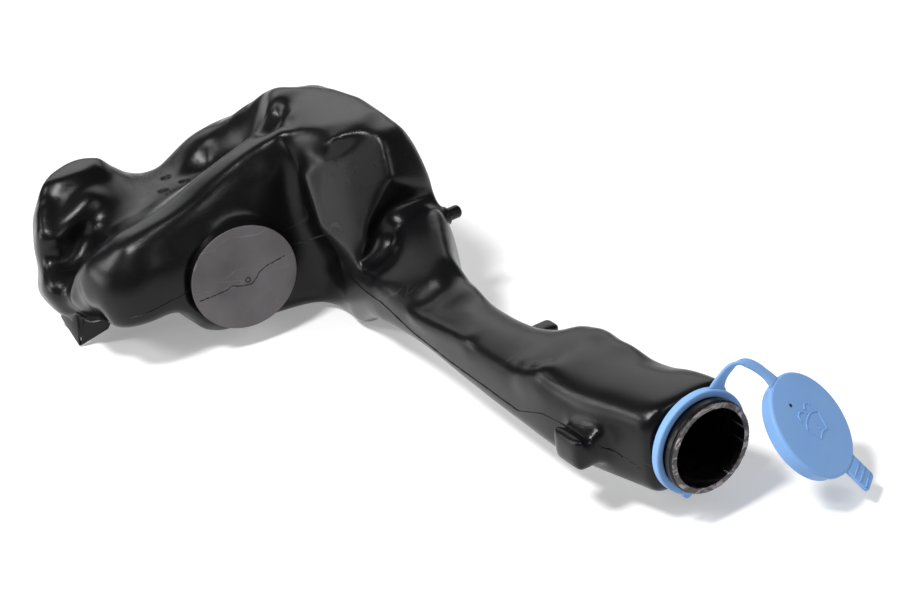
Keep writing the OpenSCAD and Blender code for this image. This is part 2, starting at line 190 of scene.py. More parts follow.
def plasticFinish(name, s):
    material = bpy.data.materials.new(name)
    material.use_nodes = True
    tree = material.node_tree
    shader = tree.nodes["Principled BSDF"]
    shader.inputs["IOR"].default_value = s["ior"]
    shader.inputs["Specular IOR Level"].default_value = s["gloss"]
    grain = addNode(
        tree, "ShaderNodeGroup", node_tree=grainGroup, values={
            "Grain Scale": s["grainScale"], "Ripple Scale": s["rippleScale"],
            "Ripple Share": s["rippleShare"]})
    bump = addNode(tree, "ShaderNodeBump", {"Strength": s["bumpStrength"], "Distance": s["bumpDepth"]})
    scuffs = addNode(
        tree, "ShaderNodeGroup", node_tree=scuffsGroup, values={
            "Scratch Scale": s["scratchScale"], "Patch Scale": s["patchScale"],
            "Scratch Width": s["scratchWidth"], "Patch Edge": s["patchEdge"]})
    place = addNode(tree, "ShaderNodeTexCoord")
    drift = addNode(tree, "ShaderNodeTexNoise", {"Scale": s["driftScale"], "Detail": 3.0})
    tone = addNode(tree, "ShaderNodeMix", {"A": s["dark"], "B": s["light"]}, data_type="RGBA")
    rubbed = addNode(tree, "ShaderNodeMix", {"B": s["scuffColour"]}, data_type="RGBA")
    amount = addNode(tree, "ShaderNodeMath", {1: s["scuffShare"]}, operation="MULTIPLY")
    rough = addNode(tree, "ShaderNodeMapRange", {"To Min": s["roughLow"], "To Max": s["roughHigh"]})
    share = addNode(tree, "ShaderNodeMath", {1: s["patchRough"]}, operation="MULTIPLY")
    blur = addNode(tree, "ShaderNodeMath", operation="ADD")
    wire(tree,
         (grain, "Height", bump, "Height"), (bump, "Normal", shader, "Normal"),
         (place, "Object", drift, "Vector"), (drift, "Fac", tone, "Factor"),
         (scuffs, "Scratches", amount, 0), (amount, 0, rubbed, "Factor"),
         (tone, "Result", rubbed, "A"), (rubbed, "Result", shader, "Base Color"),
         (drift, "Fac", rough, "Value"), (rough, 0, blur, 0),
         (scuffs, "Patches", share, 0), (share, 0, blur, 1), (blur, 0, shader, "Roughness"))
    return material


blackSettings = {
    "dark": (0.003, 0.003, 0.0034, 1), "light": (0.006, 0.006, 0.0067, 1),
    "scuffColour": (0.09, 0.09, 0.095, 1), "scuffShare": 0.5, "ior": 1.5, "gloss": 0.22,
    "roughLow": 0.21, "roughHigh": 0.28, "patchRough": 0.08,
    "grainScale": 1300.0, "rippleScale": 55.0, "rippleShare": 1.2,
    "bumpStrength": 0.5, "bumpDepth": 0.00025,       # metres
    "scratchScale": 16.0, "patchScale": 17.0, "scratchWidth": 0.006, "patchEdge": 0.56,
    "driftScale": 26.0,
}
discSettings = dict(
    blackSettings, dark=(0.055, 0.050, 0.054, 1), light=(0.165, 0.152, 0.160, 1),
    roughLow=0.40, roughHigh=0.55, scuffShare=0.8, scratchScale=70.0, scratchWidth=0.010,
    scuffColour=(0.28, 0.27, 0.28, 1), patchEdge=0.46, driftScale=32.0)
rimSettings = dict(
    blackSettings, dark=(0.004, 0.003, 0.003, 1), light=(0.22, 0.19, 0.19, 1),
    roughLow=0.4, roughHigh=0.6, driftScale=420.0, grainScale=700.0, bumpStrength=1.0, bumpDepth=0.0006,
    scuffColour=(0.80, 0.74, 0.73, 1), scuffShare=1.0, scratchScale=260.0, scratchWidth=0.05,
    patchScale=150.0, patchEdge=0.38)
blueSettings = dict(
    blackSettings, dark=(0.190, 0.370, 0.710, 1), light=(0.235, 0.425, 0.765, 1),
    scuffColour=(0.36, 0.52, 0.78, 1), scuffShare=0.35, roughLow=0.40, roughHigh=0.50,
    grainScale=1700.0, bumpStrength=0.2, bumpDepth=0.00015, rippleScale=40.0, rippleShare=0.6,
    scratchScale=40.0, scratchWidth=0.006, driftScale=38.0)

blackPlastic = plasticFinish("blackPlastic", blackSettings)
scuffedDisc = plasticFinish("scuffedDisc", discSettings)
cutRim = plasticFinish("cutRim", rimSettings)
bluePlastic = plasticFinish("bluePlastic", blueSettings)
print("finishes ready")


# Mesh helpers

def looseObject(name, mesh):
    obj = bpy.data.objects.new(name, mesh)
    scene.collection.objects.link(obj)
    return obj


def newPiece(name, mesh, material, body):
    piece = looseObject(name, mesh)
    if material and not mesh.materials:
        mesh.materials.append(material)
    mesh.shade_smooth()
    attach(piece, body)
    return piece


def bakedMesh(obj):
    # the evaluated mesh of an object with modifiers, as a plain mesh
    bpy.context.view_layer.update()
    depsgraph = bpy.context.evaluated_depsgraph_get()
    mesh = bpy.data.meshes.new_from_object(obj.evaluated_get(depsgraph))
    bpy.data.objects.remove(obj)
    return mesh


def meshFrom(bm, name):
    mesh = bpy.data.meshes.new(name)
    bm.to_mesh(mesh)
    bm.free()
    return mesh


def getPoints(mesh):
    points = np.empty(len(mesh.vertices) * 3)
    mesh.vertices.foreach_get("co", points)
    return points.reshape(-1, 3)


def setPoints(mesh, points):
    mesh.vertices.foreach_set("co", points.ravel())
    mesh.update()


def lathe(profile, sides, wobble=None):
    # turns [x, r] points about the X axis
    bm = bmesh.new()
    rings = []
    for step in range(sides):
        angle = 2 * math.pi * step / sides
        ring = []
        for i, (x, r) in enumerate(profile):
            dx, dr = wobble(i, angle) if wobble else (0, 0)
            ring.append(bm.verts.new((
                (x + dx) * mm, (r + dr) * math.cos(angle) * mm, (r + dr) * math.sin(angle) * mm)))
        rings.append(ring)
    for step in range(sides):
        a, b = rings[step], rings[(step + 1) % sides]
        for i in range(len(profile) - 1):
            bm.faces.new((a[i], a[i + 1], b[i + 1], b[i]))
    bmesh.ops.remove_doubles(bm, verts=bm.verts, dist=weld)
    bmesh.ops.recalc_face_normals(bm, faces=bm.faces)
    return meshFrom(bm, "lathe")


def rounded(corners, radius, steps=5, share=0.45):
    # an [x, r] outline with its inner corners rounded, each over a share of its sides at most
    path = [corners[0]]
    for before, corner, after in zip(corners, corners[1:], corners[2:]):
        b, c, a = Vector(before), Vector(corner), Vector(after)
        reach = min(radius, (b - c).length * share, (a - c).length * share)
        start = c + (b - c).normalized() * reach
        end = c + (a - c).normalized() * reach
        for k in range(steps + 1):
            t = k / steps
            path.append(tuple(start * (1 - t) ** 2 + c * 2 * t * (1 - t) + end * t ** 2))
    return path + [corners[-1]]


def addPrism(bm, one, two):
    # joins two matching outlines into a closed solid
    ends = [[bm.verts.new(Vector(p) * mm) for p in outline] for outline in (one, two)]
    bm.faces.new(ends[0])
    bm.faces.new(ends[1][::-1])
    for i in range(len(one)):
        j = (i + 1) % len(one)
        bm.faces.new((ends[0][i], ends[1][i], ends[1][j], ends[0][j]))


def bevelledMesh(bm, name, bevel, segments):
    bmesh.ops.recalc_face_normals(bm, faces=bm.faces)
    bmesh.ops.bevel(bm, geom=bm.edges[:], offset=bevel * mm, segments=segments, profile=0.5, affect="EDGES",
                    clamp_overlap=True)
    bmesh.ops.recalc_face_normals(bm, faces=bm.faces)
    return meshFrom(bm, name)


# Geometry Nodes trees for what repeats or follows a path, their inputs in metres

def geoTree(name, inputs):
    tree = bpy.data.node_groups.new(name, "GeometryNodeTree")
    tree.interface.new_socket(name="Geometry", in_out="INPUT", socket_type="NodeSocketGeometry")
    keys = {}
    for label, kind, value in inputs:
        socket = tree.interface.new_socket(name=label, in_out="INPUT", socket_type=kind)
        if value is not None:
            socket.default_value = value
        keys[label] = socket.identifier
    tree.interface.new_socket(name="Geometry", in_out="OUTPUT", socket_type="NodeSocketGeometry")
    return tree, tree.nodes.new("NodeGroupInput"), tree.nodes.new("NodeGroupOutput"), keys


def runTree(treeAndKeys, mesh, values):
    tree, keys = treeAndKeys
    obj = looseObject("pattern", mesh)
    modifier = obj.modifiers.new("pattern", "NODES")
    modifier.node_group = tree
    for label, value in values.items():
        modifier[keys[label]] = value
    return bakedMesh(obj)


def sweepTree():
    # a thin round strand along the edges of the input, wandering a little
    tree, given, out, keys = geoTree("sweepTrack", [
        ("Radius", "NodeSocketFloat", 0.0005), ("Step", "NodeSocketFloat", 0.001),
        ("Wander", "NodeSocketFloat", 0.0), ("Wander Scale", "NodeSocketFloat", 300.0),
        ("Material", "NodeSocketMaterial", None)])
    curve = addNode(tree, "GeometryNodeMeshToCurve")
    even = addNode(tree, "GeometryNodeResampleCurve", mode="LENGTH")
    place = addNode(tree, "GeometryNodeInputPosition")
    cloud = addNode(tree, "ShaderNodeTexNoise", {"Detail": 2.0})
    centred = addNode(tree, "ShaderNodeVectorMath", {1: (0.5, 0.5, 0.5)}, operation="SUBTRACT")
    strength = addNode(tree, "ShaderNodeVectorMath", operation="SCALE")
    shift = addNode(tree, "GeometryNodeSetPosition")
    profile = addNode(tree, "GeometryNodeCurvePrimitiveCircle", {"Resolution": 6})
    sweep = addNode(tree, "GeometryNodeCurveToMesh", {"Fill Caps": True})
    paint = addNode(tree, "GeometryNodeSetMaterial")
    wire(tree,
         (given, "Geometry", curve, "Mesh"), (curve, "Curve", even, "Curve"), (given, "Step", even, "Length"),
         (place, "Position", cloud, "Vector"), (given, "Wander Scale", cloud, "Scale"),
         (cloud, "Color", centred, 0), (centred, "Vector", strength, 0), (given, "Wander", strength, "Scale"),
         (even, "Curve", shift, "Geometry"), (strength, "Vector", shift, "Offset"),
         (given, "Radius", profile, "Radius"), (shift, "Geometry", sweep, "Curve"),
         (profile, "Curve", sweep, "Profile Curve"), (sweep, "Mesh", paint, "Geometry"),
         (given, "Material", paint, "Material"), (paint, "Geometry", out, "Geometry"))
    return tree, keys


def addCopies(tree, given, out, points, shape):
    # a copy of a shape on each point, joined to the input and painted
    copies = addNode(tree, "GeometryNodeInstanceOnPoints")
    real = addNode(tree, "GeometryNodeRealizeInstances")
    both = addNode(tree, "GeometryNodeJoinGeometry")
    paint = addNode(tree, "GeometryNodeSetMaterial")
    wire(tree,
         (points, "Mesh", copies, "Points"), (shape, "Mesh", copies, "Instance"),
         (copies, "Instances", real, "Geometry"), (real, "Geometry", both, "Geometry"),
         (given, "Geometry", both, "Geometry"), (both, "Geometry", paint, "Geometry"),
         (given, "Material", paint, "Material"), (paint, "Geometry", out, "Geometry"))
    return copies


def ribTree():
    # a row of bars added to the input
    tree, given, out, keys = geoTree("ribRow", [
        ("Count", "NodeSocketInt", 3), ("Start", "NodeSocketVector", (0, 0, 0)),
        ("Pitch", "NodeSocketVector", (0, 0.004, 0)), ("Size", "NodeSocketVector", (0.001, 0.001, 0.01)),
        ("Material", "NodeSocketMaterial", None)])
    row = addNode(tree, "GeometryNodeMeshLine")
    bar = addNode(tree, "GeometryNodeMeshCube")
    wire(tree,
         (given, "Count", row, "Count"), (given, "Start", row, "Start Location"),
         (given, "Pitch", row, "Offset"), (given, "Size", bar, "Size"))
    addCopies(tree, given, out, row, bar)
    return tree, keys


def dialTree():
    # a moulder's dial: a ring of ticks round a centre, flat in XY
    tree, given, out, keys = geoTree("tickDial", [
        ("Count", "NodeSocketInt", 12), ("Radius", "NodeSocketFloat", 0.004),
        ("Tick", "NodeSocketVector", (0.0012, 0.0005, 0.0004)), ("Material", "NodeSocketMaterial", None)])
    circle = addNode(tree, "GeometryNodeMeshCircle")
    tick = addNode(tree, "GeometryNodeMeshCube")
    place = addNode(tree, "GeometryNodeInputPosition")
    turn = addNode(tree, "FunctionNodeAlignRotationToVector", axis="X")
    ticks = addCopies(tree, given, out, circle, tick)
    wire(tree,
         (given, "Count", circle, "Vertices"), (given, "Radius", circle, "Radius"),
         (given, "Tick", tick, "Size"), (place, "Position", turn, "Vector"),
         (turn, "Rotation", ticks, "Rotation"))
    return tree, keys


sweepKit = sweepTree()
ribKit = ribTree()
dialKit = dialTree()
print("geometry trees ready")


def strand(points, s, material):
    # a thin strand along a line of points
    track = bpy.data.meshes.new("track")
    track.from_pydata([Vector(p) * mm for p in points], [(i, i + 1) for i in range(len(points) - 1)], [])
    mesh = runTree(sweepKit, track, {
        "Radius": s["radius"] * mm, "Step": s["step"] * mm, "Wander": s["wander"] * mm,
        "Wander Scale": s["wanderScale"], "Material": material})
    mesh.materials.clear()
    mesh.materials.append(material)
    return mesh


# Tank skin, from the outside of the CAD tank: remeshed finely and eased like a blown wall
skinSettings = {
    "weld": 2e-6, "voxel": 0.00175,                         # metres
    "ease": 0.5, "rounds": 10, "lastRounds": 14,
    "faceX": -16.0, "faceSlack": 0.05,                      # front of the filler box
    "boreR": 24.3, "boreDeep": 4.0, "holeR": 26.0,          # filler mouth
    "port": (-560.0, -88.0, -18.0), "portR": 11.0, "portDeep": 16.0, "portHoleR": 12.0,
    "slack": 0.2, "holeDeep": 8.0, "edgeDeep": 10.0, "edgeWide": 4.0,
}


def outerShell(s):
    # the outer surface of the hollow CAD tank, cut from its inside at the mouth and the pump port
    bm = bmesh.new()
    bm.from_mesh(frame["nodes"]["tank"].data)
    bmesh.ops.remove_doubles(bm, verts=bm.verts, dist=s["weld"])
    portX, portY, portZ = s["port"]
    bores = []
    for face in bm.faces:
        c = face.calc_center_median() / mm
        inMouth = c.x > s["faceX"] - s["boreDeep"] and math.hypot(c.y, c.z) < s["boreR"] + s["slack"]
        besidePort = math.hypot(c.y - portY, c.z - portZ) < s["portR"] + s["slack"]
        if inMouth or (besidePort and c.x < portX + s["portDeep"]):
            bores.append(face)
    bmesh.ops.delete(bm, geom=bores, context="FACES")
    seed = min(bm.verts, key=lambda v: v.co.z)
    outer, queue = {seed}, [seed]
    while queue:
        for edge in queue.pop().link_edges:
            for vert in edge.verts:
                if vert not in outer:
                    outer.add(vert)
                    queue.append(vert)
    bmesh.ops.delete(bm, geom=[v for v in bm.verts if v not in outer], context="VERTS")
    return bm


def edgesOf(mesh):
    pairs = np.empty(len(mesh.edges) * 2, dtype=np.int32)
    mesh.edges.foreach_get("vertices", pairs)
    return pairs.reshape(-1, 2)


def easePoints(points, pairs, amount, rounds):
    count = np.bincount(pairs.ravel(), minlength=len(points))[:, None]
    for _ in range(rounds):
        total = np.zeros_like(points)
        for k in range(3):
            total[:, k] = (np.bincount(pairs[:, 0], points[pairs[:, 1], k], len(points))
                           + np.bincount(pairs[:, 1], points[pairs[:, 0], k], len(points)))
        points = points + amount * (total / count - points)
    return points


def getNormals(mesh):
    normals = np.empty(len(mesh.vertices) * 3, dtype=np.float32)
    mesh.vertex_normals.foreach_get("vector", normals)
    return normals.reshape(-1, 3).astype(float)


# Moulded forms that the eye reads on the skin, pressed into it or raised from it along its normal.
# A line follows its points, a panel is the patch that they enclose, pulled flat, and a crest is pulled to
# the height of its points.
sculptSettings = [
    # dome: flat roof, the big front panel, the smaller one below it and the groove between them
    {"kind": "panel", "high": 1.5, "flat": 0.7, "feather": 6.0, "reach": 22, "dig": 6, "points": [
        (-418, -34, 88), (-432, -8, 91), (-420, 16, 92), (-386, 22, 95), (-352, 16, 96), (-345, -4, 97),
        (-362, -24, 92), (-392, -38, 86)]},
    {"kind": "panel", "high": 7.0, "flat": 0.96, "feather": 5.0, "reach": 60, "dig": 60, "points": [
        (-376, -32, 66), (-349, -29, 85), (-340, -11, 93), (-334, 9, 90), (-328, 13, 83), (-315, 13, 56),
        (-316, -2, 54), (-316, -22, 44), (-315, -30, 33), (-313, -30, 24), (-319, -40, 12), (-361, -33, 18),
        (-372, -34, 39), (-380, -35, 59)]},
    {"kind": "panel", "high": 2.2, "flat": 0.6, "feather": 3.6, "reach": 30, "dig": 8, "points": [
        (-292, 10, 41), (-298, -4, 37), (-307, -10, 28), (-287, -19, 29), (-283, -29, 23), (-291, -43, 12),
        (-280, -45, 8), (-259, -45, 10), (-248, -39, 18), (-245, -23, 27), (-248, -6, 28), (-271, 6, 32)]},
    {"kind": "line", "high": -5.0, "wide": 5.5, "power": 2.4, "points": [
        (-312, 24, 43), (-312, 7, 44), (-313, -5, 44), (-313, -14, 40), (-313, -20, 34), (-311, -21, 25),
        (-311, -28, 20), (-311, -36, 18)]},
    {"kind": "line", "high": -5.0, "wide": 8.5, "power": 2.4, "points": [(-312, -19, 29), (-309, -17, 27)]},
    # front wall: the soft band beside the panel, the crest along its top and the round shoulder
    {"kind": "line", "high": -4.0, "wide": 12.0, "power": 2.0, "points": [
        (-389, -46, 62), (-386, -46, 39), (-381, -43, 15), (-370, -37, -7)]},
    {"kind": "crest", "half": 8.5, "feather": 8.0, "high": 1.5, "reach": 30.0, "facing": 0.1, "points": [
        (-404, -38, 84), (-408, -52, 79), (-408, -75, 73), (-406, -95, 67), (-403, -112, 61),
        (-403, -128, 56), (-406, -147, 51), (-408, -156, 48)]},
    {"kind": "line", "high": 5.0, "wide": 19.0, "power": 2.0, "points": [(-393, -58, 62), (-394, -52, 64)]},
    {"kind": "line", "high": -9.0, "wide": 8.5, "power": 2.6, "points": [(-417, -38, 82), (-423, -28, 89)]},
    {"kind": "line", "high": -2.0, "wide": 10.0, "power": 2.2, "points": [(-494, -53, 39), (-471, -40, 50)]},
    # hump at the far left, with the two hollows on its near face
    {"kind": "panel", "high": 1.5, "flat": 0.9, "feather": 5.0, "reach": 25, "dig": 8, "points": [
        (-521, -174, 54), (-512, -163, 56), (-508, -142, 57), (-512, -127, 56), (-526, -120, 56),
        (-532, -134, 57), (-532, -160, 55)]},
    {"kind": "line", "high": 6.0, "wide": 9.5, "power": 2.2, "points": [
        (-493, -181, 24), (-495, -170, 30), (-494, -159, 35), (-496, -147, 41)]},
    {"kind": "line", "high": -6.0, "wide": 9.0, "power": 2.4, "points": [
        (-487, -188, 15), (-481, -178, 10), (-483, -168, 14), (-486, -160, 20)]},
    {"kind": "line", "high": 3.0, "wide": 5.5, "power": 2.0, "points": [(-507, -178, 44), (-496, -186, 31)]},
    # lobe below the hump and the blunt nose beside it
    {"kind": "line", "high": 5.0, "wide": 10.0, "power": 2.2, "points": [
        (-503, -192, -14), (-476, -195, -4)]},
    {"kind": "line", "high": -3.0, "wide": 10.0, "power": 2.0, "points": [
        (-432, -180, 36), (-434, -188, 26), (-436, -192, 12), (-436, -193, -2)]},
    {"kind": "line", "high": 4.0, "wide": 22.0, "power": 2.0, "points": [(-397, -162, 26), (-397, -168, 12)]},
    {"kind": "line", "high": -9.0, "wide": 13.0, "power": 2.2, "points": [
        (-455, -196, -18), (-436, -194, -14), (-418, -190, -10)]},
    # neck: the ridge along its near edge, the hollow behind the panel and two knuckles
    {"kind": "line", "high": 2.6, "wide": 6.0, "power": 2.2, "points": [
        (-238, -45, 9), (-224, -46, 9), (-207, -45, 12), (-189, -45, 15), (-178, -44, 15)]},
    {"kind": "line", "high": -3.0, "wide": 8.0, "power": 2.2, "points": [
        (-236, -38, 17), (-231, -23, 24), (-234, -6, 25)]},
    {"kind": "line", "high": 4.5, "wide": 8.0, "power": 2.2, "points": [(-117, -46, 19)]},
    {"kind": "line", "high": 4.0, "wide": 8.0, "power": 2.2, "points": [(-101, -45, 23)]},
    # filler box: the raised shoulder at the start of its far edge and the dip before the mouth
    {"kind": "line", "high": 5.0, "wide": 12.0, "power": 2.0, "points": [(-125, 6, 20), (-115, 8, 22)]},
    {"kind": "line", "high": 2.5, "wide": 11.0, "power": 2.0, "points": [(-104, 9, 24), (-90, 11, 26)]},
    {"kind": "line", "high": -3.0, "wide": 11.0, "power": 2.0, "points": [(-65, 14, 26), (-56, 16, 26)]},
]

# Places where the blown wall is rounder than the pressed forms leave it
softSettings = {
    "ease": 0.5, "rounds": 60,
    "paths": [
        {"wide": 8.0, "points": [              # under the crest
            (-409, -167, 49), (-400, -158, 50), (-396, -144, 52), (-394, -134, 54), (-395, -119, 59),
            (-397, -106, 63), (-396, -83, 68), (-393, -58, 73)]},
        {"wide": 17.0, "points": [(-406, -180, 36), (-398, -168, 30)]},                      # nose
        {"wide": 13.0, "points": [(-122, -47, 17), (-100, -48, 22)]},                        # knuckles
        {"wide": 10.0, "points": [(-95, -45, 24), (-55, -37, 22), (-22, -26, 25)]},         # filler box edge
        {"wide": 8.0, "points": [(-484, -147, 33), (-482, -150, 29)]},                       # hump
        {"wide": 8.0, "points": [(-261, -43, 16), (-254, -38, 19)]},                         # neck
    ],
}


def pathDistance(points, path):
    # distance to a path, and the height of its nearest place
    best = np.full(len(points), farAway)
    height = np.zeros(len(points))
    for a, b in zip(path, path[1:] if len(path) > 1 else path):
        a, run = np.array(a, float), np.array(b, float) - np.array(a, float)
        t = np.clip((points - a) @ run / max(run @ run, tiny), 0, 1)
        gap = np.linalg.norm(points - a - t[:, None] * run, axis=1)
        nearer = gap < best
        best = np.where(nearer, gap, best)
        height = np.where(nearer, a[2] + t * run[2], height)
    return best, height


def insideBy(flat, corners):
    # how far inside a flat outline each point lies, negative outside
    gap, inside = np.full(len(flat), farAway), np.zeros(len(flat), bool)
    for a, b in zip(corners, np.roll(corners, -1, axis=0)):
        run = b - a
        t = np.clip((flat - a) @ run / max(run @ run, tiny), 0, 1)
        gap = np.minimum(gap, np.linalg.norm(flat - a - t[:, None] * run, axis=1))
        crosses = (a[1] > flat[:, 1]) != (b[1] > flat[:, 1])
        where = a[0] + (flat[:, 1] - a[1]) * run[0] / (run[1] if abs(run[1]) > tiny else tiny)
        inside ^= crosses & (flat[:, 0] < where)
    return np.where(inside, gap, -gap)


def eased(t):
    t = np.clip(t, 0, 1)
    return t * t * (3 - 2 * t)


def lineStroke(points, normals, s):
    gap = pathDistance(points, s["points"])[0]
    return points + normals * (s["high"] * np.exp(-(gap / s["wide"]) ** s["power"]))[:, None]


def crestStroke(points, normals, s):
    path = np.array(s["points"], float)
    plan = (1, 1, 0)
    planGap = pathDistance(points * plan, path * plan)[0]
    gap, height = pathDistance(points, path)
    near = eased((s["half"] + s["feather"] - planGap) / s["feather"])
    near = near * (gap < s["reach"]) * (normals[:, 2] > s["facing"])
    moved = points.copy()
    moved[:, 2] += near * (height + s["high"] - points[:, 2])
    return moved


# How far from its middle a panel feels which way the skin faces, and the least facing that it moves
panelSettings = {"feel": 25.0, "facing": -0.2}


def panelStroke(points, normals, s):
    path = np.array(s["points"], float)
    centre = path.mean(axis=0)
    across, along, normal = np.linalg.svd(path - centre)[2]
    offset, outline = points - centre, path - centre
    facing = normals @ normal
    if np.sum(facing[np.linalg.norm(offset, axis=1) < panelSettings["feel"]]) < 0:
        normal, facing = -normal, -facing
    off = offset @ normal
    flat = np.stack([offset @ across, offset @ along], axis=1)
    corners = np.stack([outline @ across, outline @ along], axis=1)
    inside = eased(insideBy(flat, corners) / (2 * s["feather"]) + 0.5)
    inside = inside * (np.abs(off) < s["reach"]) * (facing > panelSettings["facing"])
    pull = s["flat"] * np.clip(off, -s["reach"], s["dig"])
    return points + (inside * (s["high"] - pull))[:, None] * normal


strokeKinds = {"line": lineStroke, "crest": crestStroke, "panel": panelStroke}


def softened(points, pairs, s):
    share = np.zeros(len(points))
    for path in s["paths"]:
        gap = pathDistance(points, path["points"])[0]
        share = np.maximum(share, np.exp(-(gap / path["wide"]) ** 2))
    return points + share[:, None] * (easePoints(points, pairs, s["ease"], s["rounds"]) - points)


# Round boss on the front wall: a disc of its own with a dished face, which the skin stays behind
bossSettings = {
    "x": -385.0, "y": -94.0, "z": 4.0, "turn": 8.0, "r": 38.0, "root": -14.0, "proud": 10.0,
    "skinOut": 2.5, "skinGap": 1.5, "dishRim": 9.0, "dishFall": 0.6, "dishDeep": 1.2, "round": 1.0,
    "sides": 160, "faceFrom": 0.6,
}


def sunkBoss(points, s):
    turn = math.radians(s["turn"])
    axis = np.array([math.cos(turn), -math.sin(turn), 0])
    offset = points - np.array([s["x"], s["y"], s["z"]])
    out = offset @ axis
    side = offset - out[:, None] * axis
    radius = np.linalg.norm(side, axis=1)
    near = (radius < s["r"] + s["skinGap"]) & (out > 0)
    moved = points - near[:, None] * (np.maximum(out - s["skinOut"], 0)[:, None] * axis)
    shrink = np.where(near, np.minimum(1, (s["r"] - s["skinGap"]) / np.maximum(radius, tiny)), 1)
    return moved - side * (1 - shrink)[:, None]


def tankSkin(s):
    outer = outerShell(s)
    # leave the mouth to its own piece: cut it off in front of the filler box
    bmesh.ops.bisect_plane(
        outer, geom=outer.verts[:] + outer.edges[:] + outer.faces[:],
        plane_co=((s["faceX"] + s["faceSlack"]) * mm, 0, 0), plane_no=(1, 0, 0), clear_outer=True)
    bmesh.ops.holes_fill(outer, edges=[e for e in outer.edges if e.is_boundary], sides=0)
    bmesh.ops.recalc_face_normals(outer, faces=outer.faces)
    obj = looseObject("shell", meshFrom(outer, "tankSkin"))
    remesh = obj.modifiers.new("voxels", "REMESH")
    remesh.mode = "VOXEL"
    remesh.voxel_size = s["voxel"]
    mesh = bakedMesh(obj)
    pairs = edgesOf(mesh)
    setPoints(mesh, easePoints(getPoints(mesh), pairs, s["ease"], s["rounds"]))
    for stroke in sculptSettings:
        press = strokeKinds[stroke["kind"]]
        setPoints(mesh, press(getPoints(mesh) / mm, getNormals(mesh), stroke) * mm)
    setPoints(mesh, softened(getPoints(mesh) / mm, pairs, softSettings) * mm)
    setPoints(mesh, sunkBoss(getPoints(mesh) / mm, bossSettings) * mm)
    setPoints(mesh, easePoints(getPoints(mesh), pairs, s["ease"], s["lastRounds"]))
    return mesh


def openHoles(mesh, s):
    # the skin is open at the mouth and the pump port, with a clean round edge
    bm = bmesh.new()
    bm.from_mesh(mesh)
    holes = (((s["faceX"], 0, 0), s["holeR"]), (s["port"], s["portHoleR"]))
    for (x, y, z), radius in holes:
        gone = []
        for face in bm.faces:
            c = face.calc_center_median() / mm
            if abs(c.x - x) < s["holeDeep"] and math.hypot(c.y - y, c.z - z) < radius:
                gone.append(face)
        bmesh.ops.delete(bm, geom=gone, context="FACES")
    for vert in (v for v in bm.verts if v.is_boundary):
        for (x, y, z), radius in holes:
            flat = Vector((vert.co.y / mm - y, vert.co.z / mm - z))
            if abs(vert.co.x / mm - x) < s["edgeDeep"] and flat.length < radius + s["edgeWide"]:
                flat = flat.normalized() * radius
                vert.co = (vert.co.x, (flat.x + y) * mm, (flat.y + z) * mm)
    bm.to_mesh(mesh)
    bm.free()


skinMesh = tankSkin(skinSettings)
openHoles(skinMesh, skinSettings)
skin = newPiece("tankSkin", skinMesh, blackPlastic, "tank_body")
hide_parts("tank")
print("tank skin:", len(skinMesh.polygons), "faces")


# Filler mouth with its bead and the ragged cut rim. Its bore runs into a cup deep in the neck
mouthSettings = {
    "root": -19.0, "throatR": 27.0, "beadLen": 6.0, "beadSlope": 1.5, "beadR": 28.5, "beadEnd": -2.4,
    "rimRoot": -2.2, "rimR": 27.7, "rimEnd": -0.2, "boreR": 24.3, "boreFlare": 0.1,
    "cupStep": 3.0, "cupR": 25.5, "cupX": -108.0, "cupTaper": 2.0, "cupDome": 4.0,
    "round": 0.5, "sides": 220, "raggedX": -1.3, "cutX": -0.75,
    "burr": 0.45, "burrShare": 0.6, "burrDrop": 0.2, "noiseR": 9.0, "noiseStep": 0.7,
    "alongScale": 2.3, "outScale": 3.1, "outShift": (7, 3, 1),
}


def fillerMouth(s):
    corners = [
        (s["root"], s["throatR"]), (-s["beadLen"] - s["beadSlope"], s["throatR"]),
        (-s["beadLen"], s["beadR"]), (s["beadEnd"], s["beadR"]), (s["rimRoot"], s["rimR"]),
        (s["rimEnd"], s["rimR"]), (s["rimEnd"], s["boreR"] + s["boreFlare"]), (s["root"], s["boreR"]),
        (s["root"] - s["cupStep"], s["cupR"]), (s["cupX"], s["cupR"] - s["cupTaper"]),
        (s["cupX"] - s["cupDome"], pole)]
    profile = rounded(corners, s["round"])
    top = [i for i, (x, r) in enumerate(profile) if x > s["raggedX"]]

    def ragged(i, angle):
        if i not in top:
            return 0, 0
        spot = Vector((math.cos(angle) * s["noiseR"], math.sin(angle) * s["noiseR"], i * s["noiseStep"]))
        along = s["burr"] * noise.noise(spot * s["alongScale"]) - s["burrDrop"]
        out = s["burr"] * s["burrShare"] * noise.noise(spot * s["outScale"] + Vector(s["outShift"]))
        return along, out

    mesh = lathe(profile, s["sides"], ragged)
    mesh.materials.append(blackPlastic)
    mesh.materials.append(cutRim)
    for face in mesh.polygons:
        face.material_index = 1 if face.center.x / mm > s["cutX"] else 0
    return mesh


newPiece("fillerMouth", fillerMouth(mouthSettings), None, "tank_body")
print("filler mouth ready")


# Disc of the boss, its face scuffed

def discTurn(s):
    return Matrix.Rotation(-math.radians(s["turn"]), 4, "Z")


def bossDisc(s):
    corners = [
        (s["root"], s["r"]), (s["proud"], s["r"]), (s["proud"] - s["dishFall"], s["r"] - s["dishRim"]),
        (s["proud"] - s["dishDeep"], pole)]
    mesh = lathe(rounded(corners, s["round"]), s["sides"])
    turn = Matrix.Translation((s["x"] * mm, s["y"] * mm, s["z"] * mm)) @ discTurn(s)
    mesh.transform(turn)
    mesh.materials.append(blackPlastic)
    mesh.materials.append(scuffedDisc)
    facing = turn.to_3x3() @ Vector((1, 0, 0))
    for face in mesh.polygons:
        face.material_index = 1 if face.normal.dot(facing) > s["faceFrom"] else 0
    return mesh


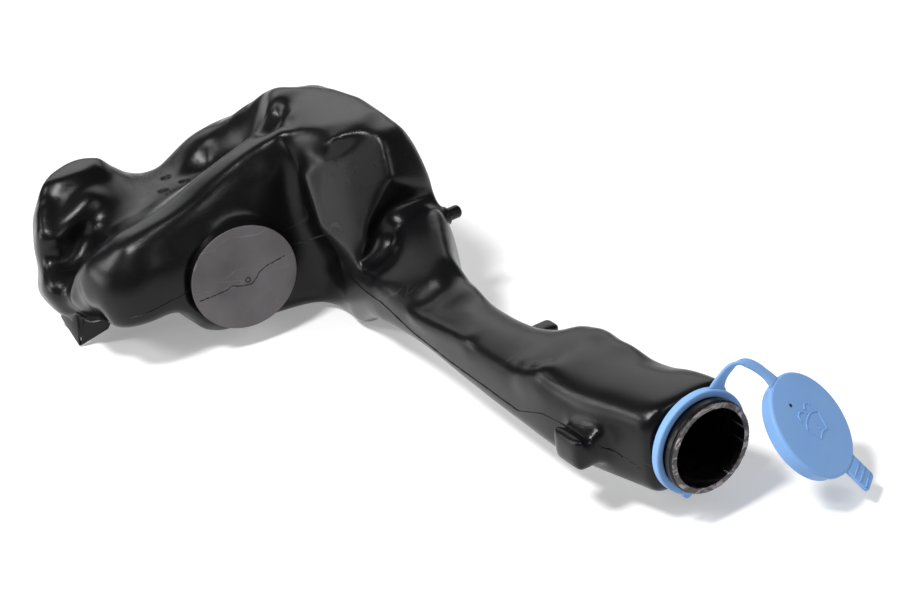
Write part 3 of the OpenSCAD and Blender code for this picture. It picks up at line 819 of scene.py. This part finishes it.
def onDisc(b, side, up, out=0.0):
    # a place on the dished face of the disc
    turn = math.radians(b["turn"])
    radius = math.hypot(side, up)
    rim = b["r"] - b["dishRim"]
    if radius > rim:
        dish = -b["dishFall"] * (b["r"] - radius) / b["dishRim"]
    else:
        dish = -b["dishDeep"] + (b["dishDeep"] - b["dishFall"]) * radius / rim
    depth = b["proud"] + dish + out
    return (b["x"] + math.cos(turn) * depth + math.sin(turn) * side,
            b["y"] - math.sin(turn) * depth + math.cos(turn) * side, b["z"] + up)


# Ragged pinch-off seam across the disc, as [sideways, up] points on its face
seamSettings = {
    "radius": 0.42, "step": 0.7, "wander": 1.1, "wanderScale": 520.0, "sunk": 0.18, "steps": 4,
    "line": [(-34, -6.5), (-25, -6.2), (-16.4, -5.7), (-9.2, -3.8), (-2.7, -6.2), (4.2, -6.9), (8.0, -3.8),
             (11.3, 0.3), (16.8, 2.8), (24, 4.6), (33, 6.6)],
}


def discSeam(s, b):
    track = []
    for (a0, u0), (a1, u1) in zip(s["line"], s["line"][1:]):
        for k in range(s["steps"]):
            t = k / s["steps"]
            track.append(onDisc(b, a0 + (a1 - a0) * t, u0 + (u1 - u0) * t, -s["sunk"]))
    return strand(track, s, blackPlastic)


# Small blow hole beside the seam, its profile as [height, share of the radius]
blowSettings = {
    "place": (2.1, -3.1), "r": 1.5, "sides": 28, "bottom": -0.9,
    "profile": [(-1.2, 1.3), (0.25, 1.3), (0.45, 1.1), (0.25, 1.0), (-0.9, 0.7)],
}


def blowHole(s, b):
    profile = [(x, s["r"] * share) for x, share in s["profile"]]
    mesh = lathe(profile + [(s["bottom"], pole)], s["sides"])
    mesh.transform(Matrix.Translation(Vector(onDisc(b, *s["place"])) * mm) @ discTurn(b))
    return mesh


newPiece("bossDisc", bossDisc(bossSettings), None, "tank_body")
newPiece("discSeam", discSeam(seamSettings, bossSettings), blackPlastic, "tank_body")
newPiece("blowHole", blowHole(blowSettings, bossSettings), blackPlastic, "tank_body")
print("boss ready")


# Details that lie on the skin
skinTree = BVHTree.FromPolygons([v.co for v in skinMesh.vertices], [p.vertices for p in skinMesh.polygons])


def onSkin(place, lift):
    spot, normal = skinTree.find_nearest(Vector(place) * mm)[:2]
    return spot + normal * lift * mm, normal


# The mould's parting line on the near side
flashSettings = {
    "radius": 0.42, "step": 1.2, "wander": 0.8, "wanderScale": 240.0, "lift": 0.05, "spacing": 2.5,
    "line": [(-387, -177, 1), (-367, -141, 4), (-366, -120, 6), (-360, -54, 14), (-352, -42, 8),
             (-342, -38, -2), (-317, -40, -2), (-281, -45, 1), (-242, -46, -6), (-200, -46, -8),
             (-156, -46, -8), (-122, -46, -9), (-96, -46, 1), (-72, -46, 1), (-50, -44, 1),
             (-36, -38, -6), (-21, -34, -11)],
}


def partingFlash(s):
    track = []
    for a, b in zip(s["line"], s["line"][1:]):
        a, b = Vector(a), Vector(b)
        steps = max(2, int((b - a).length / s["spacing"]))
        for k in range(steps):
            track.append(onSkin(a.lerp(b, k / steps), s["lift"])[0] / mm)
    return strand(track, s, blackPlastic)


# Three moulder's dials of two rings each, and a row of dots
dialSettings = {
    "count": 12, "radius": 3.6, "innerCount": 5, "innerShare": 0.45, "tick": (1.7, 0.7, 0.7), "lift": 0.1,
    "places": [(-507, -84, 31), (-489, -78, 32), (-487, -96, 32)],
    "row": (-478, -94, 32), "rowCount": 5, "rowPitch": 3.6, "rowDrift": 0.3, "dotR": 0.7,
}


def moldDials(s):
    bm = bmesh.new()
    rings = ((s["radius"], s["count"]), (s["radius"] * s["innerShare"], s["innerCount"]))
    for place in s["places"]:
        spot, normal = onSkin(place, s["lift"])
        stand = Matrix.Translation(spot) @ normal.to_track_quat("Z", "Y").to_matrix().to_4x4()
        for radius, count in rings:
            dial = runTree(dialKit, bpy.data.meshes.new("dial"), {
                "Count": count, "Radius": radius * mm, "Tick": tuple(v * mm for v in s["tick"]),
                "Material": blackPlastic})
            dial.transform(stand)
            bm.from_mesh(dial)
    x, y, z = s["row"]
    for k in range(s["rowCount"]):
        spot = onSkin((x - s["rowDrift"] * k, y + s["rowPitch"] * (k - 1), z), s["lift"])[0]
        bmesh.ops.create_icosphere(bm, subdivisions=2, radius=s["dotR"] * mm, matrix=Matrix.Translation(spot))
    return meshFrom(bm, "moldDials")


newPiece("partingFlash", partingFlash(flashSettings), blackPlastic, "tank_body")
newPiece("moldDials", moldDials(dialSettings), blackPlastic, "tank_body")
print("seams and mould marks ready")


# Guard below the left end: two thin walls that meet in a point
guardSettings = {
    "thick": 2.2, "bevel": 0.5, "segments": 2,
    "walls": [
        [(-473, -188, -51), (-461, -169, -40), (-458, -164, -31), (-452, -155, -18), (-456, -162, -14),
         (-468, -180, -24)],
        [(-473, -188, -51), (-485, -192, -30), (-482, -191, -20), (-466, -186, -20)],
    ],
}


def cornerGuard(s):
    bm = bmesh.new()
    for wall in s["walls"]:
        corners = [Vector(p) for p in wall]
        half = (corners[1] - corners[0]).cross(corners[2] - corners[0]).normalized() * s["thick"] / 2
        addPrism(bm, [p + half for p in corners], [p - half for p in corners])
    return bevelledMesh(bm, "cornerGuard", s["bevel"], s["segments"])


# Locating pin on the right wall
pinSettings = {
    "x": -308.0, "z": 26.0, "root": 14.0, "seat": 29.5, "end": 40.0, "r": 4.5, "step": 2.0,
    "tip": 1.6, "tipShare": 0.62, "pole": 0.01, "round": 1.3, "sides": 40,
}


def locatingPin(s):
    corners = [
        (s["root"], s["r"] + s["step"]), (s["seat"], s["r"] + s["step"]), (s["seat"], s["r"]),
        (s["end"] - s["tip"], s["r"]), (s["end"], s["r"] * s["tipShare"]), (s["end"], s["pole"])]
    mesh = lathe(rounded(corners, s["round"]), s["sides"])
    mesh.transform(Matrix.Translation((s["x"] * mm, 0, s["z"] * mm)) @ Matrix.Rotation(math.pi / 2, 4, "Z"))
    return mesh


newPiece("cornerGuard", cornerGuard(guardSettings), blackPlastic, "tank_body")
newPiece("locatingPin", locatingPin(pinSettings), blackPlastic, "tank_body")
print("guard and pin ready")


# Cap lid, modelled closed on the mouth and moved to where the joints hold it open
joints = {j["name"]: j for j in frame["joints"]}
lidSettings = {
    "r": 32.75, "plate": 3.0, "gap": 0.3, "angle": 8.0, "round": 0.6, "sides": 128,
    "crown": 0.5, "shoulder": 0.25, "shoulderShare": 0.6, "edgeIn": 1.2, "edgeDrop": 0.9,
    "skirtDepth": 6.6, "skirtR": 28.9, "skirtWall": 2.0, "skirtFlare": 0.3,
}


def openLid(s):
    swing, push = joints["strap_swing"], joints["lid_push"]
    pivot = Vector(swing["pos_m"])
    turn = Matrix.Rotation(-math.radians(swing["range_deg"][1]), 4, Vector(swing["axis"]))
    lift = Matrix.Translation((push["range_m"][1], 0, 0))
    spin = Matrix.Rotation(math.radians(s["angle"] + 180), 4, "X")
    return Matrix.Translation(pivot) @ turn @ Matrix.Translation(-pivot) @ lift @ spin


def lidPlate(s):
    top, low = s["gap"] + s["plate"], s["gap"] - s["skirtDepth"]
    inner, outer = s["skirtR"], s["skirtR"] + s["skirtWall"]
    corners = [
        (top + s["crown"], pole), (top + s["shoulder"], s["r"] * s["shoulderShare"]),
        (top, s["r"] - s["edgeIn"]), (top - s["edgeDrop"], s["r"]), (s["gap"], s["r"]),
        (s["gap"], outer + s["skirtFlare"]), (low, outer), (low, inner), (s["gap"], inner), (s["gap"], pole)]
    return lathe(rounded(corners, s["round"]), s["sides"])


# Pull tab with its grip ribs, along +Y from the lid's edge
tabSettings = {
    "angle": 6.0, "length": 17.0, "width": 15.0, "thick": 2.2, "overlap": 4.0,
    "corner": 2.2, "cornerShare": 0.3, "bevel": 0.45, "segments": 3,
    "ribs": 3, "ribPitch": 4.5, "ribHigh": 0.8, "ribWide": 1.2, "ribInset": 3.2, "ribShort": 1.6,
}


def pullTab(s, lid):
    half, end, corner = s["width"] / 2, lid["r"] + s["length"], s["corner"]
    root, cut = lid["r"] - s["overlap"], corner * s["cornerShare"]
    low, high = lid["gap"], lid["gap"] + s["thick"]
    outline = [
        (root, -half), (end - corner, -half), (end - cut, -half + cut), (end, -half + corner),
        (end, half - corner), (end - cut, half - cut), (end - corner, half), (root, half)]
    bm = bmesh.new()
    addPrism(bm, [(low, y, z) for y, z in outline], [(high, y, z) for y, z in outline])
    plate = bevelledMesh(bm, "tabPlate", s["bevel"], s["segments"])
    mesh = runTree(ribKit, plate, {
        "Count": s["ribs"], "Start": (high * mm, (end - s["ribInset"]) * mm, 0),
        "Pitch": (0, -s["ribPitch"] * mm, 0),
        "Size": (s["ribHigh"] * mm, s["ribWide"] * mm, (s["width"] - s["ribShort"]) * mm),
        "Material": bluePlastic})
    mesh.transform(Matrix.Rotation(math.radians(s["angle"]), 4, "X"))
    return mesh


# Generic windscreen washer sign, as [right, up] strokes, its top towards the strap
signSettings = {
    "radius": 0.55, "step": 0.7, "wander": 0.0, "wanderScale": 300.0, "lift": 0.44, "centre": (0.8, -2.2),
    "strokes": [
        [(-10, 3.6), (-6.6, 6.0), (-2.4, 7.3), (2.4, 7.3), (6.6, 6.0), (10, 3.6), (5.2, -6.4),
         (2.6, -5.2), (0, -4.8), (-2.6, -5.2), (-5.2, -6.4), (-10, 3.6)],
        [(0, -2.6), (0, -1.2)], [(0, 0.4), (0, 1.8)], [(0, 3.4), (0, 4.8)], [(0, 9.2), (0, 10.4)],
        [(-1.4, 11.2), (-4.2, 13.4), (-7.4, 12.4), (-8.4, 9.6)],
        [(1.4, 11.2), (4.2, 13.4), (7.4, 12.4), (8.4, 9.6)],
    ],
}


def washerSign(s, lid):
    level = lid["gap"] + lid["plate"] + s["lift"]
    centreRight, centreUp = s["centre"]
    bm = bmesh.new()
    for stroke in s["strokes"]:
        track = [(level, -(up + centreUp), right + centreRight) for right, up in stroke]
        bm.from_mesh(strand(track, s, bluePlastic))
    return meshFrom(bm, "washerSign")


# Vent in the lid: a black disc almost flush with the lid, with a soft lip. Its black is painted shade
# standing for the depth of the hole. Its profile is given as [height, share of the radius]
ventSettings = {
    "y": -17.5, "z": -5.0, "r": 1.15, "lift": 0.34, "sides": 24, "bottom": -0.02,
    "profile": [(-1, 1.0), (0, 1.0), (0.06, 0.86), (-0.02, 0.6)],
}


# a black disc on the lid whose colour is painted shade of the vent hole
def ventShadeDisc(s, lid):
    top = lid["gap"] + lid["plate"] + s["lift"]
    profile = [(top + x, s["r"] * share) for x, share in s["profile"]]
    mesh = lathe(profile + [(top + s["bottom"], pole)], s["sides"])
    mesh.transform(Matrix.Translation((0, s["y"] * mm, s["z"] * mm)))
    return mesh


lidPlace = openLid(lidSettings)
lidMesh = lidPlate(lidSettings)
tabMesh = pullTab(tabSettings, lidSettings)
signMesh = washerSign(signSettings, lidSettings)
ventShadeMesh = ventShadeDisc(ventSettings, lidSettings)
for mesh in (lidMesh, tabMesh, signMesh, ventShadeMesh):
    mesh.transform(lidPlace)
lid = newPiece("capLid", lidMesh, bluePlastic, "lid")
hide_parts("cap_lid")
newPiece("pullTab", tabMesh, bluePlastic, "lid")
newPiece("washerSign", signMesh, bluePlastic, "lid")
# the vent's black disc is painted shade, not a cut hole
newPiece("ventShadeDisc", ventShadeMesh, blackPlastic, "lid")
print("lid ready")


# Tether ring round the neck, with a small nub below
ringSettings = {
    "x": -13.5, "width": 5.0, "r": 32.0, "bore": 27.4, "lip": 2.0, "round": 1.0, "sides": 128,
    "nubAngle": 250.0, "nubR": 3.5, "nubLen": 3.0, "nubRound": 0.7, "nubSides": 32,
}


def tetherRing(s):
    x0, x1 = s["x"], s["x"] + s["width"]
    corners = [
        (x0, s["r"] - s["lip"]), (x0, s["r"]), (x1, s["r"]), (x1, s["bore"]),
        (x0, s["bore"]), (x0, s["r"] - s["lip"])]
    return lathe(rounded(corners, s["round"]), s["sides"])


def ringNub(s):
    x0, x1 = s["x"], s["x"] + s["nubLen"]
    corners = [(x0, pole), (x0, s["nubR"]), (x1, s["nubR"]), (x1, pole)]
    mesh = lathe(rounded(corners, s["nubRound"]), s["nubSides"])
    a = math.radians(s["nubAngle"])
    mesh.transform(Matrix.Translation((0, s["r"] * math.cos(a) * mm, s["r"] * math.sin(a) * mm)))
    return mesh


ring = newPiece("tetherRing", tetherRing(ringSettings), bluePlastic, "ring")
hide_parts("cap_ring")
newPiece("ringNub", ringNub(ringSettings), bluePlastic, "ring")
print("ring ready")


# Strap from the ring to the lid, in two halves
strapSettings = {
    "angle": 62.0, "width": 7.5, "thick": 2.0, "rise": 24.0, "lean": 2.4, "reach": 18.0, "sunk": 0.6,
    "flare": 0.45, "flareEnd": 0.14, "steps": 28,
    "section": [(-0.5, -0.25), (-0.4, -0.5), (0.4, -0.5), (0.5, -0.25),
                (0.5, 0.25), (0.4, 0.5), (-0.4, 0.5), (-0.5, 0.25)],
}


def strapLine(s, lid, ring):
    # the handles of the strap's curve and the direction across it at either end
    a = math.radians(s["angle"])
    out = Vector((0, math.cos(a), math.sin(a)))
    root = out * (ring["r"] - s["sunk"]) + Vector((ring["x"] + ring["width"] / 2, 0, 0))
    side = Vector((0, -math.sin(a), math.cos(a)))
    edge = lidPlace @ (Vector((lid["gap"] + lid["plate"] / 2, -(lid["r"] - s["sunk"]), 0)) * mm) / mm
    lidOut = lidPlace.to_3x3() @ Vector((0, -1, 0))
    lidSide = lidPlace.to_3x3() @ Vector((0, 0, -1))
    handles = (root, root + out * s["rise"] + Vector((s["lean"], 0, 0)), edge + lidOut * s["reach"], edge)
    return handles, side, lidSide


strapCourse = strapLine(strapSettings, lidSettings, ringSettings)


def strapAt(t):
    (p0, p1, p2, p3), side, lidSide = strapCourse
    u = 1 - t
    place = p0 * u ** 3 + p1 * 3 * t * u * u + p2 * 3 * t * t * u + p3 * t ** 3
    ahead = (p1 - p0) * u * u + (p2 - p1) * 2 * t * u + (p3 - p2) * t * t
    thick = ahead.cross(side * u + lidSide * t).normalized()
    return place, thick, thick.cross(ahead).normalized()


def strapPiece(s, start, end):
    bm = bmesh.new()
    rings = []
    for k in range(s["steps"] + 1):
        t = start + (end - start) * k / s["steps"]
        place, thick, wide = strapAt(t)
        flare = 1 + s["flare"] * max(0, s["flareEnd"] - t, t - (1 - s["flareEnd"])) / s["flareEnd"]
        rings.append([bm.verts.new((place + wide * a * s["width"] * flare + thick * b * s["thick"]) * mm)
                      for a, b in s["section"]])
    for one, two in zip(rings, rings[1:]):
        for i in range(len(one)):
            j = (i + 1) % len(one)
            bm.faces.new((one[i], one[j], two[j], two[i]))
    bm.faces.new(rings[0][::-1])
    bm.faces.new(rings[-1])
    bmesh.ops.recalc_face_normals(bm, faces=bm.faces)
    mesh = meshFrom(bm, "strap")
    mesh.materials.append(bluePlastic)
    mesh.shade_smooth()
    return mesh


def softStrap(s, name, start, end):
    # half of the strap, between the ring and the lid
    piece = looseObject(name, strapPiece(s, start, end))
    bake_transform(piece)
    return piece


ringHalf = softStrap(strapSettings, "strapRingHalf", 0.0, 0.5)
softStrap(strapSettings, "strapLidHalf", 0.5, 1.0)
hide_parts("cap_strap")
print("strap ready")


# Floor and light, its sizes in metres
stageSettings = {
    "floorColour": (0.80, 0.80, 0.80, 1), "floorRough": 0.9, "floorGlow": 0.30, "floorSize": 8.0,
    "white": (1, 1, 1, 1), "worldLevel": 0.10,
    "lamps": {
        # name: azimuth, elevation, distance, size x, size y, power
        "overheadBox": (24, 60, 1.6, 0.32, 0.24, 25),
        "backBox": (-116, 32, 1.9, 2.6, 1.2, 17),
        "rightBox": (112, 34, 1.8, 0.40, 0.60, 6),
        "noseBox": (-24, 34, 1.8, 0.22, 0.26, 9),
        "panelBox": (-26, 10, 1.9, 0.90, 0.45, 10),
    },
    "aim": (-0.28, -0.05, 0.02),
}


def makeFloor(s):
    low, half = cadBox[0][2], s["floorSize"] / 2
    mesh = bpy.data.meshes.new("floor")
    corners = [(-half, -half, low), (half, -half, low), (half, half, low), (-half, half, low)]
    mesh.from_pydata(corners, [], [(0, 1, 2, 3)])
    floor = looseObject("floor", mesh)
    material = bpy.data.materials.new("paleFloor")
    material.use_nodes = True
    tree = material.node_tree
    shader = tree.nodes["Principled BSDF"]
    shader.inputs["Base Color"].default_value = s["floorColour"]
    shader.inputs["Roughness"].default_value = s["floorRough"]
    shader.inputs["Specular IOR Level"].default_value = 0.0
    shader.inputs["Emission Color"].default_value = s["white"]
    rays = addNode(tree, "ShaderNodeLightPath")
    seen = addNode(tree, "ShaderNodeMath", operation="MAXIMUM")
    glow = addNode(tree, "ShaderNodeMath", {1: s["floorGlow"]}, operation="MULTIPLY")
    wire(tree,
         (rays, "Is Camera Ray", seen, 0), (rays, "Is Glossy Ray", seen, 1), (seen, 0, glow, 0),
         (glow, 0, shader, "Emission Strength"))
    mesh.materials.append(material)


def makeLight(s):
    world = bpy.data.worlds.new("studio")
    world.use_nodes = True
    background = world.node_tree.nodes["Background"]
    background.inputs["Strength"].default_value = s["worldLevel"]
    background.inputs["Color"].default_value = s["white"]
    scene.world = world
    for name, (azimuth, elevation, distance, sizeX, sizeY, power) in s["lamps"].items():
        way = bearing(azimuth, elevation)
        data = bpy.data.lights.new(name, "AREA")
        data.shape = "RECTANGLE"
        data.size, data.size_y, data.energy = sizeX, sizeY, power
        lamp = bpy.data.objects.new(name, data)
        facing = way.to_track_quat("Z", "Y").to_matrix().to_4x4()
        lamp.matrix_world = Matrix.Translation(Vector(s["aim"]) + way * distance) @ facing
        scene.collection.objects.link(lamp)


makeFloor(stageSettings)
makeLight(stageSettings)
print("stage ready")
